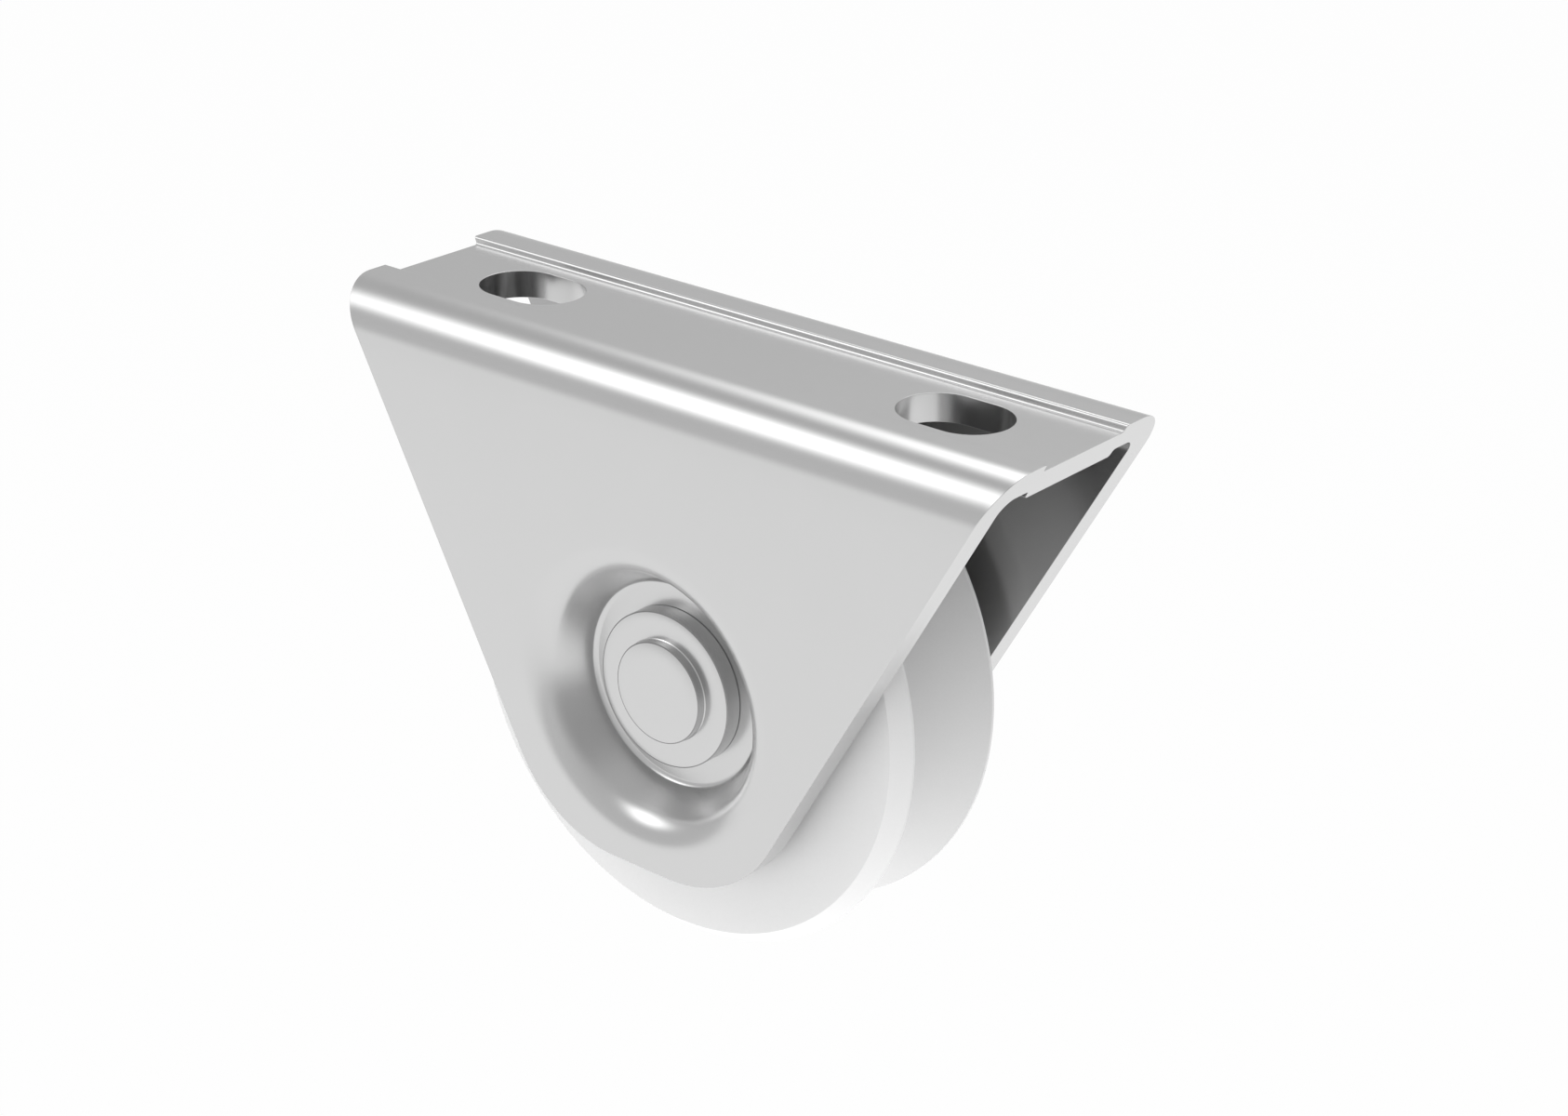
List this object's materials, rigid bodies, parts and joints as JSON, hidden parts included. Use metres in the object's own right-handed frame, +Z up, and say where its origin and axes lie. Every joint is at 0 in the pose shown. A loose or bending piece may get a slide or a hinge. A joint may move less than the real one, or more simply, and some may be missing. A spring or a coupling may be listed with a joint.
{
  "type": "v groove wheel",
  "caption": "Moulded wheel with a V groove on a ball bearing, carried between the slanted cheeks of a pressed steel bracket with a slotted top.",
  "frame": {"origin": "centre of the two fixing slots, on the top face of the recessed web", "axes": "+X along the bracket, +Y along the axle from the near cheek to the far one, +Z up out of the web, the way the fixing bolts leave"},
  "size_m": [0.0774, 0.0254, 0.0582],
  "materials": {
    "steel_sheet": "satin",
    "steel_turned": "satin",
    "white_plastic": "matte",
    "bearing_steel": "polished",
    "cage_steel": "bright rolled"
  },
  "bodies": {
    "bracket_body": {"bracket": "steel_sheet", "axle": "steel_turned", "washer_near": "steel_turned", "washer_far": "steel_turned", "spacer_near": "steel_turned", "spacer_far": "steel_turned", "bearing_inner_ring": "bearing_steel"},
    "wheel_body": {"wheel": "white_plastic", "bearing_outer_ring": "bearing_steel", "shield_near": "cage_steel", "shield_far": "cage_steel"},
    "cage_body": {"bearing_balls": "bearing_steel", "cage_near": "cage_steel", "cage_far": "cage_steel", "cage_rivets": "cage_steel"}
  },
  "joints": [
    {"name": "wheel_spin", "type": "hinge", "parent": "bracket_body", "child": "wheel_body", "pos_m": [0, 0, -0.0311], "axis": [0, 1, 0], "continuous": true},
    {"name": "cage_spin", "type": "hinge", "parent": "bracket_body", "child": "cage_body", "pos_m": [0, 0, -0.0311], "axis": [0, 1, 0], "continuous": true}
  ],
  "couplings": [
    {"joint": "cage_spin", "follows": "wheel_spin", "ratio": 0.63222}
  ]
}
